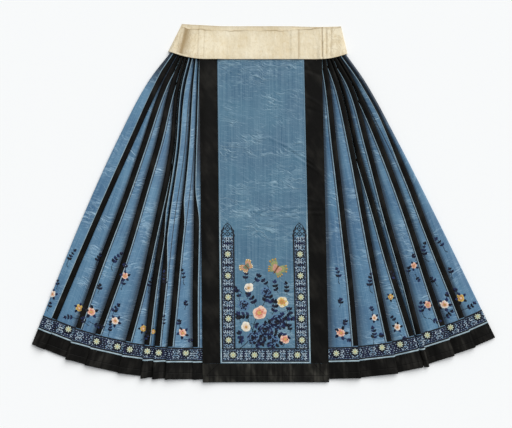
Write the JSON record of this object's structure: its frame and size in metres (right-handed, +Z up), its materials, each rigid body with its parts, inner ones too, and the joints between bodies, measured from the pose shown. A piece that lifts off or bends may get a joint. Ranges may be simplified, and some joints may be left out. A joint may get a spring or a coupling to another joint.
{
  "type": "pleated wrap skirt laid flat, with a plain front panel, black bands and ribbon borders",
  "caption": "Pleated blue silk wrap skirt laid flat: flat banded front panel, fanned side pleats with black strips, ribbon hem and cream waistband.",
  "frame": {"origin": "centre of the bounding box on the surface that the skirt lies on", "axes": "+X to the right of the front, +Y from the hem towards the waistband, +Z up from the surface"},
  "size_m": [1.229, 0.952, 0.015],
  "materials": {
    "blue_silk": "ribbed silk with a soft sheen, slightly creased",
    "black_satin": "black silk satin",
    "navy_ribbon": "woven ribbon with pale tracery and round flowers",
    "pale_piping": "pale blue silk bias piping",
    "cotton_band": "cream cotton, matt, slightly crumpled"
  },
  "bodies": {
    "root": {"waistband_front_left": "cotton_band", "waistband_front_right": "cotton_band", "waistband_back": "cotton_band", "front_panel": "blue_silk", "front_border_left": "black_satin", "front_border_right": "black_satin", "front_border_hem": "black_satin", "front_piping_left": "pale_piping", "front_piping_right": "pale_piping", "front_piping_hem": "pale_piping", "front_ribbon_left": "navy_ribbon", "front_ribbon_right": "navy_ribbon", "front_ribbon_hem": "navy_ribbon", "gore_right_1": "blue_silk", "gore_right_2": "blue_silk", "gore_right_3": "blue_silk", "gore_right_4": "blue_silk", "gore_right_5": "blue_silk", "gore_right_6": "blue_silk", "gore_right_7": "blue_silk", "strip_right_1": "black_satin", "strip_right_2": "black_satin", "strip_right_3": "black_satin", "strip_right_4": "black_satin", "strip_right_5": "black_satin", "strip_right_6": "black_satin", "gore_left_1": "blue_silk", "gore_left_2": "blue_silk", "gore_left_3": "blue_silk", "gore_left_4": "blue_silk", "gore_left_5": "blue_silk", "gore_left_6": "blue_silk", "gore_left_7": "blue_silk", "gore_left_8": "blue_silk", "gore_left_9": "blue_silk", "strip_left_1": "black_satin", "strip_left_2": "black_satin", "strip_left_3": "black_satin", "strip_left_4": "black_satin", "strip_left_5": "black_satin", "strip_left_6": "black_satin", "strip_left_7": "black_satin", "strip_left_8": "black_satin", "hem_ribbon_left": "navy_ribbon", "hem_piping_left": "pale_piping", "hem_band_left": "black_satin", "hem_ribbon_right": "navy_ribbon", "hem_piping_right": "pale_piping", "hem_band_right": "black_satin", "under_panel": "blue_silk", "back_panel": "blue_silk", "back_border_left": "black_satin", "back_border_right": "black_satin", "back_border_hem": "black_satin", "back_pleats_left": "blue_silk", "back_hem_band_left": "black_satin", "back_pleats_right": "blue_silk", "back_hem_band_right": "black_satin"}
  },
  "joints": []
}
